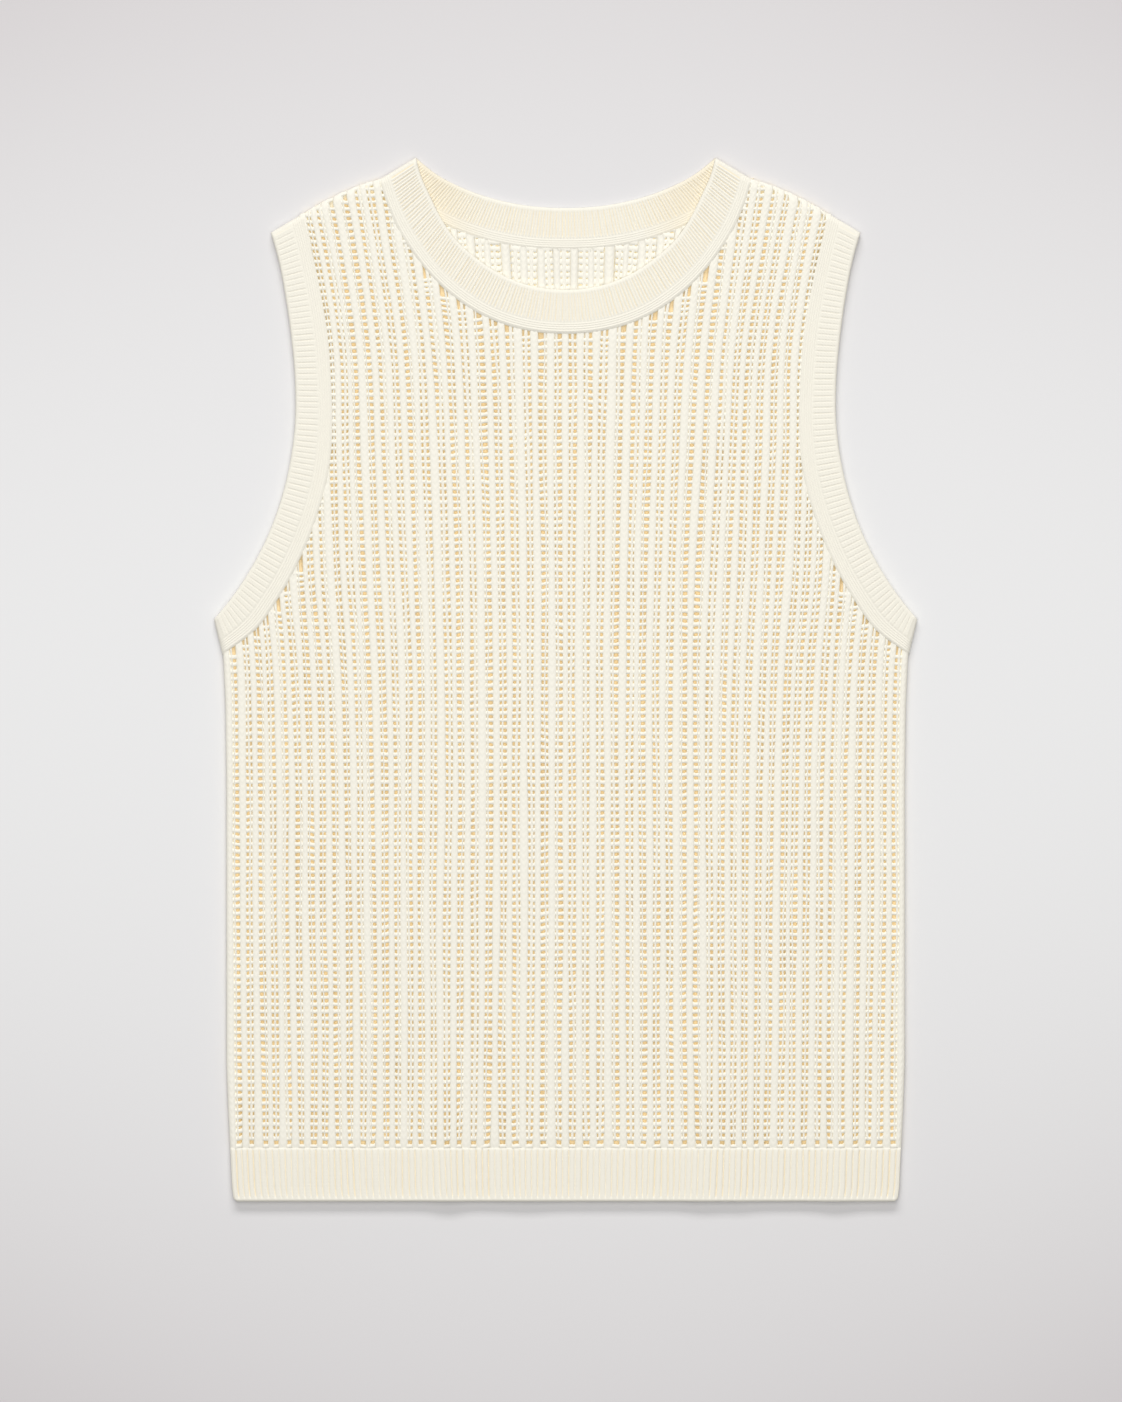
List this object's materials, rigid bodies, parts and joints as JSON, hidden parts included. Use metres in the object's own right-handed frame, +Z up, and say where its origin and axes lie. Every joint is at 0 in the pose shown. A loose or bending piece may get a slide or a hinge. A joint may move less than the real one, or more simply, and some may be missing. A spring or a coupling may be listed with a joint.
{
  "type": "knitted sweater vest",
  "caption": "Sleeveless crew-neck sweater vest in ribbed openwork knit, laid flat, with ribbed neck, armhole and hem bands.",
  "frame": {"origin": "middle of the box's base, on the surface that the vest lies on", "axes": "+Y from the hem up to the neck, +Z up off the surface, +X across the body towards the viewer's right"},
  "size_m": [0.4218, 0.6258, 0.007],
  "materials": {
    "ivory_body_knit": "matte ivory cotton in a ribbed openwork knit",
    "ivory_band_knit": "matte ivory cotton in a close one by one rib"
  },
  "bodies": {
    "root": {"back_panel": "ivory_body_knit", "front_panel": "ivory_body_knit", "back_hem_rib": "ivory_band_knit", "front_hem_rib": "ivory_band_knit", "neck_band": "ivory_band_knit", "left_armhole_band": "ivory_band_knit", "right_armhole_band": "ivory_band_knit"}
  },
  "joints": []
}
